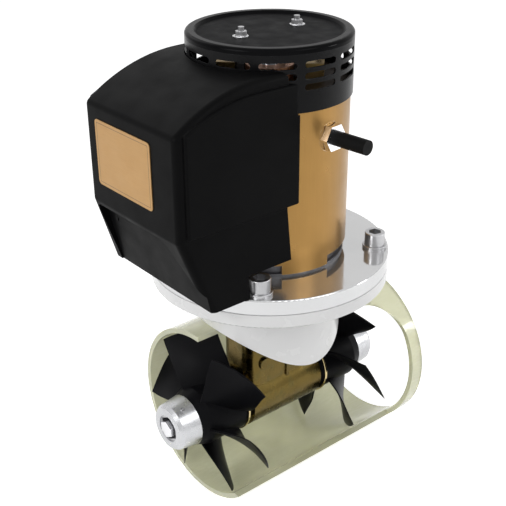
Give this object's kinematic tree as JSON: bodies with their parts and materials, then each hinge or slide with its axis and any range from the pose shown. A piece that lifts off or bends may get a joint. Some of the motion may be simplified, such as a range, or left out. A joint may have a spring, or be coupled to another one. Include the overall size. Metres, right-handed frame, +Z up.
{
  "type": "bow thruster",
  "caption": "Electric tunnel thruster: vertical motor with relay cover on a bolted flange, bevel-gear leg, and a propeller on each end of the cross shaft in a cut-away tunnel.",
  "frame": {"origin": "where the motor's vertical axis crosses the tunnel's axis", "axes": "+Z up along the motor's axis, +Y along the tunnel to the far propeller, +X out of the open side of the tunnel"},
  "size_m": [0.251, 0.3158, 0.5081],
  "materials": {
    "tunnel_resin": "gloss",
    "white_gelcoat": "gloss",
    "gasket_black": "matte",
    "motor_gold": "satin",
    "cover_black": "satin",
    "band_black": "gloss",
    "steel_bright": "satin",
    "nut_chrome": "polished",
    "bronze": "satin",
    "prop_black": "satin",
    "nose_zinc": "satin",
    "dark_iron": "satin",
    "copper": "satin",
    "magnet_dark": "matte",
    "carbon": "matte",
    "label_gold": "satin",
    "seal_rubber": "matte",
    "relay_grey": "satin"
  },
  "bodies": {
    "housing": {"tunnel": "tunnel_resin", "saddle_flange": "white_gelcoat", "flange_gasket": "gasket_black", "motor_bracket": "white_gelcoat", "bracket_screws": "steel_bright", "bracket_washers": "steel_bright", "adapter_ring": "dark_iron", "motor_foot": "dark_iron", "yoke_tube": "motor_gold", "field_magnets": "magnet_dark", "brush_plate": "carbon", "brush_holders": "bronze", "carbon_brushes": "carbon", "vent_band": "band_black", "top_frame": "dark_iron", "top_cap": "band_black", "cap_studs": "steel_bright", "cap_nuts": "steel_bright", "terminal_stud": "steel_bright", "terminal_nut": "nut_chrome", "terminal_sleeve": "seal_rubber", "cover": "cover_black", "label_plate": "label_gold", "relay_bracket": "steel_bright", "relays": "relay_grey", "relay_studs": "copper", "gear_leg": "bronze", "leg_screws": "steel_bright", "oil_plug": "bronze", "bearing_carrier": "bronze", "prop_bearing_near_outer": "steel_bright", "prop_bearing_far_outer": "steel_bright", "prop_seal_near": "seal_rubber", "prop_seal_far": "seal_rubber", "pinion_bearing_outer": "steel_bright", "motor_lower_bearing_outer": "steel_bright", "motor_upper_bearing_outer": "steel_bright"},
    "drive_line": {"armature_shaft": "steel_bright", "armature_core": "dark_iron", "armature_windings": "copper", "commutator": "copper", "motor_lower_bearing_inner": "steel_bright", "motor_upper_bearing_inner": "steel_bright", "coupling_upper": "steel_bright", "coupling_spider": "seal_rubber", "coupling_lower": "steel_bright", "pinion_shaft": "steel_bright", "pinion_gear": "steel_bright", "pinion_bearing_inner": "steel_bright"},
    "propeller_line": {"prop_shaft": "steel_bright", "crown_gear": "steel_bright", "prop_bearing_near_inner": "steel_bright", "prop_bearing_far_inner": "steel_bright", "drive_pins": "steel_bright", "propeller_near": "prop_black", "propeller_far": "prop_black", "nose_cone_near": "nose_zinc", "nose_cone_far": "nose_zinc", "prop_nut_near": "steel_bright", "prop_nut_far": "steel_bright"}
  },
  "joints": [
    {"name": "motor_spin", "type": "hinge", "parent": "housing", "child": "drive_line", "pos_m": [0, 0, 0.25], "axis": [0, 0, 1], "continuous": true},
    {"name": "propeller_spin", "type": "hinge", "parent": "housing", "child": "propeller_line", "pos_m": [0, 0, 0], "axis": [0, 1, 0], "continuous": true}
  ],
  "couplings": [
    {"joint": "propeller_spin", "follows": "motor_spin", "ratio": -0.5}
  ]
}
